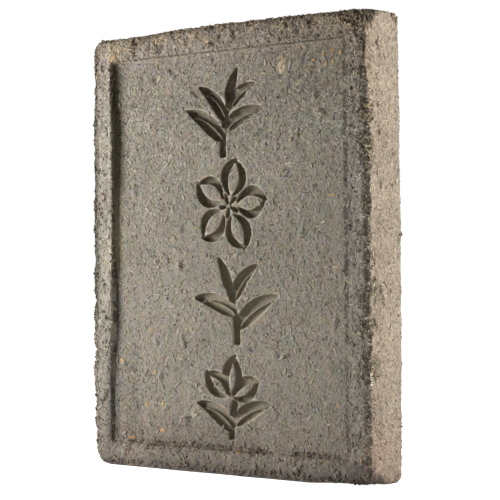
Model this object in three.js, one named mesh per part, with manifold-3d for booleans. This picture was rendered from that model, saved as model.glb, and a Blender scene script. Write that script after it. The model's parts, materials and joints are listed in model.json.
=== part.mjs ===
// A large pressed tea brick: one slab of compressed leaf, with a raised rim round a sunken panel and four
// tea-plant ornaments pressed into the middle of the panel. Its edges are broken and crumbly, and the
// coarsest bits of leaf stand out of its faces as low flakes. It stands on one of its short sides.
// Frame: millimetres, +Z up, +X to the right of the pressed face, -Y out of the pressed face. The origin is
// the middle of the base, on the surface that the brick stands on.
import * as THREE from "three";
import { mergeVertices } from "three/addons/utils/BufferGeometryUtils.js";
import Module from "manifold-3d";

const wasm = await Module();
wasm.setup();

// Driving dimensions of the slab.
const HEIGHT = 240;
const WIDTH = 190;
const THICKNESS = 27;
const CORNER_RADIUS = 6;
const SHARP_CORNER_RADIUS = 3; // of the top right corner
const SIDE_BULGE = 0.9; // how far the top and the long sides swell at their middle
const BASE_TRIM = 0.9; // what the flat base takes off the rough underside

// Driving dimensions of the pressed face.
const RIM_WIDTH = 13.3;
const PANEL_DEPTH = 3.3;
const PANEL_CORNER_RADIUS = 2.2;
const WALL_RUN = 1.1; // how far the panel's wall leans over its depth
const LIP_ROUND = 0.7;

// Width of the broken band along the front edge of each side. The right edge is the most worn.
const WEAR = { right: 3.4, top: 2.2, left: 1.4, bottom: 2.4 };
const WEAR_VARIES = 0.45; // share of the width
const CRAG = 0.42; // how far a crag stands out or in, as a share of the width
const BACK_ROUND = 1;

// How far each side leans in towards the front. The right side leans the most.
const LEAN = { right: 1.5, top: 0.1, left: 0.2, bottom: 0 };

// How uneven the faces are, and the size of their lumps.
const RIM_UNEVEN = 0.3;
const SIDE_UNEVEN = 0.35;
const LUMP = 7;

// Driving dimensions of the ornaments. A stroke has sloped walls.
const STROKE_DEPTH = 3.2;
const STROKE_DRAFT = 0.5; // how much wider a stroke is at its mouth than on its floor, on each side
const RIB_SHARE = 0.6; // height of a leaf's midrib, as a share of the stroke's depth
const STROKE_TIP = 0.3; // how wide a stroke's floor is at its points
const RIB_WIDTH = [1.3, 0.4]; // a midrib's width at its foot and at its end
const RIB_REACH = 0.82; // how far a midrib runs, as a share of its leaf
const COLUMN_X = 1.5;
const TOP_ORNAMENT_Z = 193;
const ORNAMENT_PITCH = 50;

// A sprig's stem starts this far below the sprig's middle. Its leaves grow smaller and lie closer to it
// towards its top.
const SPRIG = { below: 24, stemLength: 31, stemWidth: [3.4, 2.2], firstLeafAt: 0.25, leafSpan: 0.7 };
const LEAF_SHRINKS = 0.32;
const LEAF_CLOSES = 0.45;
const LEAF_BOW = 2.6;
const BUD = { at: 0.93, length: 19, width: 6.6, fullAt: 0.33 };

// The two strokes of a petal start this far apart, in radians, and turn towards each other.
const PETAL_SPREAD = 0.22;
const PETAL_TURN = 0.07;
const SHORTER_PETAL_STROKE = { reach: 0.95, width: 0.86 };
const STAMEN = { inner: 1.2, width: 2.4, bow: 0.3 };

// The flakes: how many lie on each face, their least and greatest length, and how far they stand out.
const FLAKES = { panel: 34, rim: 22, side: 6, back: 18 };
const FLAKE_LENGTH = [4, 8.5];
const FLAKE_SLIMNESS = [0.35, 0.6]; // least and greatest width, as a share of the length
const FLAKE_RISE = 0.6;
const FLAKE_ROOT = 2.5; // how deep a flake's body reaches into the slab
const FLAKE_CORNERS = 6;
const FLAKE_TILT = 0.08; // in radians, either way
const FLAKE_SEED = 20;

// Steps along the slab's outline, on its short sides, its long sides and each corner.
const STEPS = { short: 39, long: 50, corner: 3 };

// Joining and cutting collapse an edge that is shorter than this.
const SHORTEST_EDGE = 0.01;

const FRONT_Y = -THICKNESS / 2;
const PANEL_Y = FRONT_Y + PANEL_DEPTH;
const PANEL_HALF_WIDTH = WIDTH / 2 - RIM_WIDTH - WALL_RUN;
const PANEL_HALF_HEIGHT = HEIGHT / 2 - RIM_WIDTH - WALL_RUN;

// ---- Random numbers and noise ----

// A seeded source of numbers from 0 to 1.
function randomSource(seed) {
  let state = seed;
  return () => {
    state = (state + 0x6d2b79f5) | 0;
    let t = Math.imul(state ^ (state >>> 15), 1 | state);
    t = (t + Math.imul(t ^ (t >>> 7), 61 | t)) ^ t;
    return ((t ^ (t >>> 14)) >>> 0) / 4294967296;
  };
}

// A number from 0 to 1 that belongs to one point of a lattice.
function latticeValue(i, j, k) {
  return randomSource(Math.imul(i, 374761393) ^ Math.imul(j, 668265263) ^ Math.imul(k, 1274126177))();
}

// Smooth noise from -1 to 1, with lumps of the given size.
function noise(x, y, z, size, seed) {
  const place = [x / size + seed * 17.3, y / size - seed * 5.9, z / size + seed * 29.1];
  const cell = place.map(Math.floor);
  const part = place.map((value, axis) => THREE.MathUtils.smoothstep(value - cell[axis], 0, 1));
  let sum = 0;
  for (let corner = 0; corner < 8; corner += 1) {
    const step = [corner & 1, (corner >> 1) & 1, (corner >> 2) & 1];
    const weight = step.reduce((product, s, axis) => product * (s ? part[axis] : 1 - part[axis]), 1);
    sum += weight * latticeValue(cell[0] + step[0], cell[1] + step[1], cell[2] + step[2]);
  }
  return 2 * sum - 1;
}

// ---- Solids ----

// A closed geometry as a solid that can be joined and cut.
function solidOf(geometry) {
  const bare = geometry.index ? geometry.toNonIndexed() : geometry.clone();
  ["normal", "uv"].forEach((name) => bare.deleteAttribute(name));
  const merged = mergeVertices(bare, 1e-4);
  return new wasm.Manifold(
    new wasm.Mesh({
      numProp: 3,
      vertProperties: merged.attributes.position.array,
      triVerts: new Uint32Array(merged.index.array),
      tolerance: SHORTEST_EDGE,
    }),
  );
}

function geometryOf(solid) {
  const mesh = solid.getMesh();
  return new THREE.BufferGeometry()
    .setAttribute("position", new THREE.BufferAttribute(mesh.vertProperties, 3))
    .setIndex(new THREE.BufferAttribute(mesh.triVerts, 1));
}

function joined(solids) {
  return solids.reduce((whole, solid) => whole.add(solid));
}

// ---- The slab ----

// The stations of the slab's outline, counterclockwise as the pressed face is seen. A station lies on the
// arc of a corner, or at a share t of the side from corner a to corner b. Its side's wear and lean pass into
// the next one's round the corner.
function outlineStations() {
  const plainCorners = [
    { sx: 1, sz: -1, from: -Math.PI / 2, before: "bottom", after: "right", steps: STEPS.long },
    { sx: 1, sz: 1, from: 0, before: "right", after: "top", steps: STEPS.short, radius: SHARP_CORNER_RADIUS },
    { sx: -1, sz: 1, from: Math.PI / 2, before: "top", after: "left", steps: STEPS.long },
    { sx: -1, sz: -1, from: Math.PI, before: "left", after: "bottom", steps: STEPS.short },
  ];
  const corners = plainCorners.map((corner) => ({ radius: CORNER_RADIUS, ...corner }));
  return corners.flatMap((corner, n) => {
    const next = corners[(n + 1) % corners.length];
    const arc = Array.from({ length: STEPS.corner + 1 }, (_, s) => ({
      a: corner,
      b: next,
      t: 0,
      angle: corner.from + (s / STEPS.corner) * (Math.PI / 2),
      wear: THREE.MathUtils.lerp(WEAR[corner.before], WEAR[corner.after], s / STEPS.corner),
      lean: THREE.MathUtils.lerp(LEAN[corner.before], LEAN[corner.after], s / STEPS.corner),
    }));
    const side = Array.from({ length: corner.steps - 1 }, (_, s) => ({
      a: corner,
      b: next,
      t: (s + 1) / corner.steps,
      angle: corner.from + Math.PI / 2,
      wear: WEAR[corner.after],
      lean: LEAN[corner.after],
    }));
    return [...arc, ...side];
  });
}

// A station's place on the outline drawn in by `inset`.
function stationPlace(station, inset) {
  const arcOf = (corner) => {
    const radius = Math.max(PANEL_CORNER_RADIUS, corner.radius - inset * 0.6);
    return {
      radius,
      x: corner.sx * (WIDTH / 2 - inset - radius),
      z: HEIGHT / 2 + corner.sz * (HEIGHT / 2 - inset - radius),
    };
  };
  const [a, b] = [arcOf(station.a), arcOf(station.b)];
  const bulge = SIDE_BULGE * Math.sin(Math.PI * station.t) * Math.max(0, 1 - inset / RIM_WIDTH);
  const reach = THREE.MathUtils.lerp(a.radius, b.radius, station.t) + bulge;
  return {
    x: THREE.MathUtils.lerp(a.x, b.x, station.t) + Math.cos(station.angle) * reach,
    z: THREE.MathUtils.lerp(a.z, b.z, station.t) + Math.sin(station.angle) * reach,
  };
}

// The points of one ring. A ring lies `inset` in from the outline and `depth` behind the front, each with a
// share of the local wear added, and `leant` adds a share of the local lean to the inset. Crag roughens it by
// a share of the wear, and side and face roughen it by a fixed measure.
function ringPoints(stations, ring) {
  const { inset, depth, wornInset = 0, wornDepth = 0, leant = 0, crag = 0, side = 0, face = 0 } = ring;
  return stations.map((station, n) => {
    const wear = station.wear * (1 + WEAR_VARIES * noise(n, 0, 0, 2.3, 1));
    const { x, z } = stationPlace(station, inset + wornInset * wear + leant * station.lean);
    const behind = depth + wornDepth * wear;
    const roughness = crag * wear;
    const out = roughness * noise(x, behind, z, LUMP * 0.6, 2) + side * noise(x, behind, z, LUMP, 3);
    const back = roughness * noise(x, behind, z, LUMP * 0.5, 4) + face * noise(x, behind, z, LUMP * 1.6, 5);
    return [
      x + Math.cos(station.angle) * out,
      FRONT_Y + behind + back,
      z + Math.sin(station.angle) * out - BASE_TRIM,
    ];
  });
}

// The rings run from the panel's floor over the rim and round the sides to the back.
const SLAB_RINGS = [
  { inset: RIM_WIDTH + WALL_RUN, depth: PANEL_DEPTH, side: 0.35 },
  { inset: RIM_WIDTH + 0.2, depth: LIP_ROUND, side: 0.45 },
  { inset: RIM_WIDTH - LIP_ROUND, depth: 0, side: 0.45, face: RIM_UNEVEN * 0.4 },
  { inset: RIM_WIDTH * 0.72, depth: 0, face: RIM_UNEVEN },
  { inset: RIM_WIDTH * 0.48, depth: 0, face: RIM_UNEVEN },
  { inset: 0.9, wornInset: 0.8, depth: 0.15, leant: 0.8, crag: CRAG * 0.5, face: RIM_UNEVEN },
  { inset: 0.2, wornInset: 0.4, depth: 0.25, wornDepth: 0.08, leant: 1, crag: CRAG * 0.4 },
  { inset: 0, wornInset: 0.06, depth: 0.5, wornDepth: 0.14, leant: 1, crag: CRAG * 0.3 },
  { inset: 0, depth: THICKNESS * 0.35, leant: 0.15, side: SIDE_UNEVEN },
  { inset: 0, depth: THICKNESS * 0.65, side: SIDE_UNEVEN },
  { inset: 0.1, depth: THICKNESS - BACK_ROUND * 1.3, side: SIDE_UNEVEN },
  { inset: BACK_ROUND * 0.4, depth: THICKNESS - BACK_ROUND * 0.45, side: SIDE_UNEVEN },
  { inset: BACK_ROUND * 1.4, depth: THICKNESS, side: SIDE_UNEVEN },
];

// The closed skin through the rings, with a flat cap on the panel's floor and another on the back.
function slabGeometry() {
  const stations = outlineStations();
  const rings = SLAB_RINGS.map((ring) => ringPoints(stations, ring));
  const count = stations.length;
  const index = [];
  for (let r = 0; r + 1 < rings.length; r += 1) {
    for (let n = 0; n < count; n += 1) {
      const m = (n + 1) % count;
      const [near, nearNext, far, farNext] = [n, m, n + count, m + count].map((v) => v + r * count);
      index.push(near, far, nearNext, nearNext, far, farNext);
    }
  }
  const capTriangles = (ring) =>
    THREE.ShapeUtils.triangulateShape(rings[ring].map(([x, , z]) => new THREE.Vector2(x, z)), [])
      .map((triangle) => triangle.map((v) => v + ring * count));
  capTriangles(0).forEach((triangle) => index.push(...triangle));
  capTriangles(rings.length - 1).forEach((triangle) => index.push(...triangle.reverse()));
  return new THREE.BufferGeometry()
    .setAttribute("position", new THREE.Float32BufferAttribute(rings.flat(2), 3))
    .setIndex(index);
}

// The space over the surface that the brick stands on. What reaches below it is trimmed to a flat base.
function standingSpace() {
  return solidOf(new THREE.BoxGeometry(WIDTH * 2, THICKNESS * 3, HEIGHT * 2).translate(0, 0, HEIGHT));
}

// ---- The ornaments, drawn in the plane of the pressed face ----

function headingVector(heading) {
  return new THREE.Vector2(Math.cos(heading), Math.sin(heading));
}

// A bowed line from one point along a heading. Its middle stands off to the left by `bow`.
function bowedLine(from, heading, length, bow) {
  const along = headingVector(heading);
  const pull = from.clone().addScaledVector(along, length / 2);
  pull.addScaledVector(new THREE.Vector2(-along.y, along.x), 2 * bow);
  return new THREE.QuadraticBezierCurve(from, pull, from.clone().addScaledVector(along, length));
}

// The outline of a stroke along a curve. widthAt gives its width at each share of the curve.
function strokeShape(curve, widthAt, steps) {
  const edge = (sign) =>
    Array.from({ length: steps + 1 }, (_, n) => {
      const along = curve.getTangent(n / steps);
      const half = (sign * widthAt(n / steps)) / 2;
      return curve.getPoint(n / steps).add(new THREE.Vector2(along.y, -along.x).multiplyScalar(half));
    });
  return new THREE.Shape([...edge(1), ...edge(-1).reverse()]);
}

// The cutter of a sunken stroke whose floor has the given shape and whose walls open out towards its mouth.
function strokeCutter(floor) {
  const geometry = new THREE.ExtrudeGeometry(floor, {
    depth: 2,
    bevelThickness: STROKE_DEPTH,
    bevelSize: STROKE_DRAFT,
    bevelSegments: 1,
  });
  return solidOf(geometry.rotateX(Math.PI / 2).translate(0, PANEL_Y, 0));
}

// A ridge that is left standing on the floor of a stroke.
function ridge(shape) {
  const height = STROKE_DEPTH * RIB_SHARE;
  const geometry = new THREE.ExtrudeGeometry(shape, { depth: height + 1, bevelEnabled: false });
  return solidOf(geometry.rotateX(Math.PI / 2).translate(0, PANEL_Y + STROKE_DEPTH + 1, 0));
}

// A brush stroke: it swells to its full width at the share `fullAt` and comes to a point at both ends.
function brushCutter(curve, width, { fullAt = 0.4, steps = 9 } = {}) {
  const power = Math.log(0.5) / Math.log(fullAt);
  const swell = width - 2 * STROKE_DRAFT - STROKE_TIP;
  const widthAt = (t) => STROKE_TIP + swell * Math.sin(Math.PI * t ** power) ** 0.8;
  return strokeCutter(strokeShape(curve, widthAt, steps));
}

// A leaf: a brush stroke with a standing midrib.
function leafCutter(from, heading, length, width, bow) {
  const blade = brushCutter(bowedLine(from, heading, length, bow), width, { steps: 10 });
  const midrib = bowedLine(from, heading, length * RIB_REACH, bow * RIB_REACH);
  return blade.subtract(ridge(strokeShape(midrib, (t) => THREE.MathUtils.lerp(...RIB_WIDTH, t), 5)));
}

// A stem whose width passes from the first value to the second.
function stemCutter(curve, width) {
  return strokeCutter(strokeShape(curve, (t) => THREE.MathUtils.lerp(...width, t), 7));
}

// A sprig: a bowed stem with leaves on alternate sides, smaller towards its top, and a bud on its end.
function sprigCutter(centre, { lean, bow, leaves, leafLength, leafWidth, spread, firstSide }) {
  const up = Math.PI / 2 - lean;
  const foot = centre.clone().addScaledVector(headingVector(up), -SPRIG.below);
  const stem = bowedLine(foot, up, SPRIG.stemLength, bow);
  const leafAt = (n) => {
    const share = n / leaves;
    const side = n % 2 ? -firstSide : firstSide;
    const size = 1 - LEAF_SHRINKS * share;
    const heading = up + side * (spread - LEAF_CLOSES * share);
    const from = stem.getPoint(SPRIG.firstLeafAt + SPRIG.leafSpan * share);
    return leafCutter(from, heading, leafLength * size, leafWidth * size, -side * LEAF_BOW);
  };
  const budLine = bowedLine(stem.getPoint(BUD.at), up - lean, BUD.length, firstSide);
  return joined([
    stemCutter(stem, SPRIG.stemWidth),
    ...Array.from({ length: leaves }, (_, n) => leafAt(n)),
    brushCutter(budLine, BUD.width, { fullAt: BUD.fullAt }),
  ]);
}

// One petal drawn as two strokes that bow apart. The first runs past the second at the petal's tip.
function petalCutter(centre, heading, { inner, outer, bow, width }) {
  const strokeOf = (side, reach, thickness) => {
    const start = centre.clone().addScaledVector(headingVector(heading + side * PETAL_SPREAD), inner);
    const line = bowedLine(start, heading - side * PETAL_TURN, reach - inner, side * bow);
    return brushCutter(line, thickness, { fullAt: 0.55 });
  };
  const shorter = strokeOf(-1, outer * SHORTER_PETAL_STROKE.reach, width * SHORTER_PETAL_STROKE.width);
  return strokeOf(1, outer, width).add(shorter);
}

// An open blossom: petals round a ring of stamens.
function blossomCutter(centre, { petals, turn, inner, outer, bow, width }) {
  const headings = Array.from({ length: petals }, (_, n) => turn + (n / petals) * 2 * Math.PI);
  const stamenAt = (heading) => {
    const from = centre.clone().addScaledVector(headingVector(heading), STAMEN.inner);
    const line = bowedLine(from, heading, inner - STAMEN.inner / 2, STAMEN.bow);
    return brushCutter(line, STAMEN.width, { fullAt: 0.7, steps: 5 });
  };
  return joined([
    ...headings.map((heading) => petalCutter(centre, heading, { inner, outer, bow, width })),
    ...headings.map((heading) => stamenAt(heading + Math.PI / petals)),
  ]);
}

// A blossom that is half open, on a short stalk between two leaves.
function openingBlossomCutter(centre, { lean, outer, bow, width, leafLength, leafWidth }) {
  const up = Math.PI / 2 - lean;
  const upFrom = (point, distance) => point.clone().addScaledVector(headingVector(up), distance);
  const heart = upFrom(centre, -3);
  const foot = centre.clone().addScaledVector(headingVector(up + 0.15), -24);
  const sidePetal = { inner: 3, outer: outer * 0.92, bow: bow * 0.9, width };
  return joined([
    petalCutter(heart, up, { inner: 2, outer, bow, width }),
    petalCutter(heart, up + 0.98, sidePetal),
    petalCutter(heart, up - 0.98, sidePetal),
    stemCutter(bowedLine(foot, up, 20, 1), [2.8, 3.2]),
    leafCutter(upFrom(foot, 4), up + 1.15, leafLength, leafWidth, -LEAF_BOW),
    leafCutter(upFrom(foot, 7), up - 1, leafLength, leafWidth, LEAF_BOW),
  ]);
}

// The column of ornaments.
function ornamentCutter() {
  const centre = (n) => new THREE.Vector2(COLUMN_X, TOP_ORNAMENT_Z - n * ORNAMENT_PITCH);
  return joined([
    sprigCutter(centre(0), {
      lean: 0.16, bow: 1.6, leaves: 4, leafLength: 31, leafWidth: 9.4, spread: 1.12, firstSide: 1,
    }),
    blossomCutter(centre(1), { petals: 5, turn: 1.35, inner: 6, outer: 25.5, bow: 5.6, width: 5.2 }),
    sprigCutter(centre(2), {
      lean: -0.2, bow: -1.8, leaves: 3, leafLength: 33, leafWidth: 10, spread: 1.2, firstSide: -1,
    }),
    openingBlossomCutter(centre(3), {
      lean: 0.12, outer: 24, bow: 4.8, width: 5, leafLength: 28, leafWidth: 9,
    }),
  ]);
}

// ---- The flakes ----

// A bit of leaf with a pointed, uneven outline. It lies in the XY plane with its upper face slightly tilted.
function flakeGeometry(random) {
  const pick = ([low, high]) => THREE.MathUtils.lerp(low, high, random());
  const length = pick(FLAKE_LENGTH);
  const width = length * pick(FLAKE_SLIMNESS);
  const outline = Array.from({ length: FLAKE_CORNERS }, (_, n) => {
    const angle = ((n + 0.4 * random()) / FLAKE_CORNERS) * 2 * Math.PI;
    const reach = pick([0.7, 1]) / 2;
    return new THREE.Vector2(Math.cos(angle) * reach * length, Math.sin(angle) * reach * width);
  });
  const body = { depth: FLAKE_ROOT + FLAKE_RISE, bevelEnabled: false };
  const geometry = new THREE.ExtrudeGeometry(new THREE.Shape(outline), body).translate(0, 0, -FLAKE_ROOT);
  return geometry.rotateX(FLAKE_TILT * (2 * random() - 1)).rotateZ(random() * 2 * Math.PI);
}

// The flakes of the brick. Each face turns a flake to itself and names the patch where flakes may lie. A
// flake that would touch a stroke is left out.
function flakes(strokes) {
  const random = randomSource(FLAKE_SEED);
  const between = (low, high) => THREE.MathUtils.lerp(low, high, random());
  const margin = FLAKE_LENGTH[1] * 0.6;
  const rimMiddle = RIM_WIDTH * 0.5;
  const onPanel = () => [
    between(margin - PANEL_HALF_WIDTH, PANEL_HALF_WIDTH - margin),
    PANEL_Y,
    HEIGHT / 2 + between(margin - PANEL_HALF_HEIGHT, PANEL_HALF_HEIGHT - margin),
  ];
  const onUprightRim = () => [
    (random() < 0.5 ? -1 : 1) * (WIDTH / 2 - rimMiddle),
    FRONT_Y,
    between(RIM_WIDTH, HEIGHT - RIM_WIDTH),
  ];
  const onLevelRim = () => [
    between(RIM_WIDTH - WIDTH / 2, WIDTH / 2 - RIM_WIDTH),
    FRONT_Y,
    random() < 0.5 ? rimMiddle : HEIGHT - rimMiddle,
  ];
  const onSide = (sign) => {
    const z = between(RIM_WIDTH, HEIGHT - RIM_WIDTH);
    return [sign * (WIDTH / 2 + SIDE_BULGE * Math.sin((Math.PI * z) / HEIGHT)), between(-margin, margin), z];
  };
  const onBack = () => [
    between(margin - WIDTH / 2, WIDTH / 2 - margin),
    THICKNESS / 2,
    between(margin, HEIGHT - margin),
  ];
  const faces = [
    { count: FLAKES.panel, turn: (geometry) => geometry.rotateX(Math.PI / 2), place: onPanel },
    { count: FLAKES.rim / 2, turn: (geometry) => geometry.rotateX(Math.PI / 2), place: onUprightRim },
    { count: FLAKES.rim / 2, turn: (geometry) => geometry.rotateX(Math.PI / 2), place: onLevelRim },
    { count: FLAKES.side, turn: (geometry) => geometry.rotateY(Math.PI / 2), place: () => onSide(1) },
    { count: FLAKES.side, turn: (geometry) => geometry.rotateY(-Math.PI / 2), place: () => onSide(-1) },
    { count: FLAKES.back, turn: (geometry) => geometry.rotateX(-Math.PI / 2), place: onBack },
  ];
  const everyFlake = faces.flatMap(({ count, turn, place }) =>
    Array.from({ length: count }, () => solidOf(turn(flakeGeometry(random)).translate(...place()))),
  );
  return everyFlake.filter((flake) => flake.intersect(strokes).isEmpty());
}

// ---- The whole brick ----

function brickSolid() {
  const strokes = ornamentCutter();
  const slab = solidOf(slabGeometry()).intersect(standingSpace());
  return joined([slab, joined(flakes(strokes))]).subtract(strokes);
}

const pressedLeaf = new THREE.MeshStandardMaterial({ color: 0x857a6b, roughness: 0.92, metalness: 0 });
const brick = new THREE.Mesh(geometryOf(brickSolid()), pressedLeaf);
brick.name = "brick";

const teaBrick = new THREE.Group();
teaBrick.add(brick);

export default teaBrick;
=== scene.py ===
"""A large pressed tea brick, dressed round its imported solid.

The body is a close-meshed copy of the solid with the relief of pressed leaf. Twelve kinds of leaf fragment
are strewn over it, one piece for each kind, and a few large flecks lie at places of their own. Lengths are in
millimetres, unless a docstring says otherwise.
"""

import json
import logging
import math
from collections.abc import Sequence
from dataclasses import dataclass, field
from enum import Enum
from functools import cached_property, reduce

import bpy
from mathutils import Matrix, Vector

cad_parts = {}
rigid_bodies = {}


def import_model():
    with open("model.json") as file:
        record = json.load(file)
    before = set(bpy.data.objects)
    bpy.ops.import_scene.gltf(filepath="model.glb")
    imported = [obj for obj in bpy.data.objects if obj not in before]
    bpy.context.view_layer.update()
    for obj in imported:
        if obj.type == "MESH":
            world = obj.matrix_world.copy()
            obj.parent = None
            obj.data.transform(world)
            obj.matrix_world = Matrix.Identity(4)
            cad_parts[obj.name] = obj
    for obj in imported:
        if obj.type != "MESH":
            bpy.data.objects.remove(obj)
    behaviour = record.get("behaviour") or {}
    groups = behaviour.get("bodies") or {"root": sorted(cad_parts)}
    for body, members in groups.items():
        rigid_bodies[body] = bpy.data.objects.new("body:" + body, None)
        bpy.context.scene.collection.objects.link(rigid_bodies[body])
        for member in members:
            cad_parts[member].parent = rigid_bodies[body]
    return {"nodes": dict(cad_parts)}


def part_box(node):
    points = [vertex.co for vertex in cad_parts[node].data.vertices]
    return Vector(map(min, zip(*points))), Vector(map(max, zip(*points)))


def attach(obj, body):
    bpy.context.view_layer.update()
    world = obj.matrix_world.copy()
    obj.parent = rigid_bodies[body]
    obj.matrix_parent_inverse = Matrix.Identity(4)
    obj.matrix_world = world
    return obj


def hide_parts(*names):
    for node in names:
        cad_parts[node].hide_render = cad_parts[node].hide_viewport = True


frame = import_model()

log = logging.getLogger("tea_brick")

MM = 0.001
PER_SQUARE_CM = 1e4
NODE = "brick"
BODY = "root"

Triple = tuple[float, float, float]


# ---- Node trees ----


@dataclass(frozen=True)
class Value:
    """A socket of a node tree that takes part in sums."""

    canvas: "Canvas"
    socket: bpy.types.NodeSocket

    def math(self, operation: str, *others: "Term") -> "Value":
        """Joins this value and others by one Math node."""
        return self.canvas.joined("ShaderNodeMath", self, *others, operation=operation)

    def __add__(self, other: "Term") -> "Value":
        """Adds."""
        return self.math("ADD", other)

    def __sub__(self, other: "Term") -> "Value":
        """Subtracts."""
        return self.math("SUBTRACT", other)

    def __mul__(self, other: "Term") -> "Value":
        """Multiplies."""
        return self.math("MULTIPLY", other)

    def larger(self, other: "Term") -> "Value":
        """Takes the larger of two values."""
        return self.math("MAXIMUM", other)

    def inverse(self) -> "Value":
        """Takes this share away from 1."""
        return self * -1 + 1

    def ramp(self, low: float, high: float, to: tuple[float, float] = (0.0, 1.0)) -> "Value":
        """Maps a range to another with soft ends.

        Args:
            low: The input that gives the first output.
            high: The input that gives the second output.
            to: The two outputs.

        Returns:
            The mapped value.
        """
        inputs = {"Value": self, "From Min": low, "From Max": high, "To Min": to[0], "To Max": to[1]}
        return self.canvas.value("ShaderNodeMapRange", "Result", inputs, interpolation_type="SMOOTHSTEP")

    def fall(self, low: float, high: float, most: float = 1.0) -> "Value":
        """Falls from the most to 0 over a range."""
        return self.ramp(low, high, (most, 0.0))

    def band(self, start: float, full: float, fade: float, end: float, most: float = 1.0) -> "Value":
        """Rises from 0 to the most over a range, and falls back over a later one."""
        return self.ramp(start, full) * self.fall(fade, end, most)

    def near(self, middle: float, inner: float, outer: float) -> "Value":
        """Tells how near this is to a middle: 1 up to the inner distance from it, 0 past the outer one."""
        return (self - middle).math("ABSOLUTE").fall(inner, outer)


Term = Value | float | Sequence[float] | str | bool
Inputs = dict[str, Term]


class Canvas:
    """A node tree under construction."""

    def __init__(self, tree: bpy.types.NodeTree) -> None:
        """Takes the tree to draw in."""
        self.tree = tree

    def feed(self, socket: bpy.types.NodeSocket, term: Term) -> None:
        """Links a value to a socket, or sets a plain number, vector or full colour on it.

        Args:
            socket: The socket.
            term: What goes into it.
        """
        if isinstance(term, Value):
            self.tree.links.new(term.socket, socket)
        elif socket.type == "RGBA":
            socket.default_value = (*term, 1.0)
        else:
            socket.default_value = term

    def add(self, kind: str, inputs: Inputs | None = None, **settings: object) -> bpy.types.Node:
        """Adds a node.

        Args:
            kind: The node's type name.
            inputs: What goes into its sockets, by name.
            settings: The node's own properties.

        Returns:
            The node.
        """
        node = self.tree.nodes.new(kind)
        for name, setting in settings.items():
            setattr(node, name, setting)
        for name, term in (inputs or {}).items():
            self.feed(next(s for s in node.inputs if s.name == name and s.enabled), term)
        return node

    def value(self, kind: str, output: str, inputs: Inputs | None = None, **settings: object) -> Value:
        """Adds a node and gives one of its outputs as a value."""
        node = self.add(kind, inputs, **settings)
        return Value(self, next(s for s in node.outputs if s.name == output and s.enabled))

    def joined(self, kind: str, *terms: Term, **settings: object) -> Value:
        """Adds a node, feeds its sockets in turn, and gives its first output.

        Args:
            kind: The node's type name.
            terms: What goes into its sockets.
            settings: The node's own properties.

        Returns:
            The first output.
        """
        node = self.add(kind, **settings)
        for socket, term in zip((s for s in node.inputs if s.enabled), terms):
            self.feed(socket, term)
        return Value(self, next(s for s in node.outputs if s.enabled))

    def noise(self, place: Value, size: float, detail: float = 2.0, roughness: float = 0.55) -> Value:
        """Gives smooth noise from 0 to 1 whose lumps have a size in the units of the place."""
        inputs = {"Vector": place, "Scale": 1 / size, "Detail": detail, "Roughness": roughness}
        return self.value("ShaderNodeTexNoise", "Fac", inputs)

    def cells(self, place: Value, size: float, output: str = "Color") -> Value:
        """Gives cells of a size in the units of the place: a random colour each, or the distance."""
        return self.value("ShaderNodeTexVoronoi", output, {"Vector": place, "Scale": 1 / size})

    def scaled(self, vector: Value, factor: Term) -> Value:
        """Multiplies a vector by a number."""
        inputs = {"Vector": vector, "Scale": factor}
        return self.value("ShaderNodeVectorMath", "Vector", inputs, operation="SCALE")

    def mixed(self, share: Term, first: Term, second: Term, blend: str = "MIX") -> Value:
        """Mixes two colours by the share of the second."""
        return self.joined("ShaderNodeMix", share, first, second, data_type="RGBA", blend_type=blend)

    def cast(self, share: Term, colour: Term, by: Term) -> Value:
        """Multiplies a colour by another, as far as the share says."""
        return self.mixed(share, colour, by, "MULTIPLY")

    def random_vector(self, low: Triple, high: Triple, seed: int) -> Value:
        """Gives each point a random vector between two corners."""
        inputs = {"Min": low, "Max": high, "Seed": seed}
        return self.value("FunctionNodeRandomValue", "Value", inputs, data_type="FLOAT_VECTOR")

    def keep(self, geometry: Value, name: str, term: Value, domain: str) -> Value:
        """Stores a number on a geometry under a name.

        Args:
            geometry: The geometry.
            name: The name.
            term: The number.
            domain: What has a number each, such as POINT or INSTANCE.

        Returns:
            The geometry with the number.
        """
        inputs = {"Geometry": geometry, "Name": name, "Value": term}
        settings = {"data_type": "FLOAT", "domain": domain}
        return self.value("GeometryNodeStoreNamedAttribute", "Geometry", inputs, **settings)

    def kept(self, name: str) -> Value:
        """Reads a number that a mesh keeps, in a geometry tree."""
        return self.value("GeometryNodeInputNamedAttribute", "Attribute", {"Name": name}, data_type="FLOAT")

    def stored(self, name: str) -> Value:
        """Reads a number that a mesh keeps, in a material."""
        return self.value("ShaderNodeAttribute", "Fac", attribute_name=name)

    def position(self) -> Value:
        """Gives the place of each point in metres."""
        return self.value("GeometryNodeInputPosition", "Position")

    def axes(self, vector: Value) -> tuple[Value, Value, Value]:
        """Splits a vector into its three parts."""
        node = self.add("ShaderNodeSeparateXYZ", {"Vector": vector})
        return tuple(Value(self, socket) for socket in node.outputs)


def geometry_canvas(name: str) -> tuple[Canvas, Value]:
    """Starts a Geometry Nodes tree with one geometry in and one out.

    Args:
        name: The tree's name.

    Returns:
        The canvas and the incoming geometry.
    """
    tree = bpy.data.node_groups.new(name, "GeometryNodeTree")
    for in_out in ("INPUT", "OUTPUT"):
        tree.interface.new_socket(name="Geometry", in_out=in_out, socket_type="NodeSocketGeometry")
    canvas = Canvas(tree)
    return canvas, canvas.value("NodeGroupInput", "Geometry")


def finish_geometry(canvas: Canvas, geometry: Value, piece: bpy.types.Object) -> None:
    """Ends a Geometry Nodes tree with a geometry, and applies it to a piece.

    Args:
        canvas: The tree.
        geometry: What it gives.
        piece: The piece.
    """
    canvas.add("NodeGroupOutput", {"Geometry": geometry})
    modifier = piece.modifiers.new(canvas.tree.name, "NODES")
    modifier.node_group = canvas.tree
    apply_modifier(piece, modifier)


# ---- Working on objects ----


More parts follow.
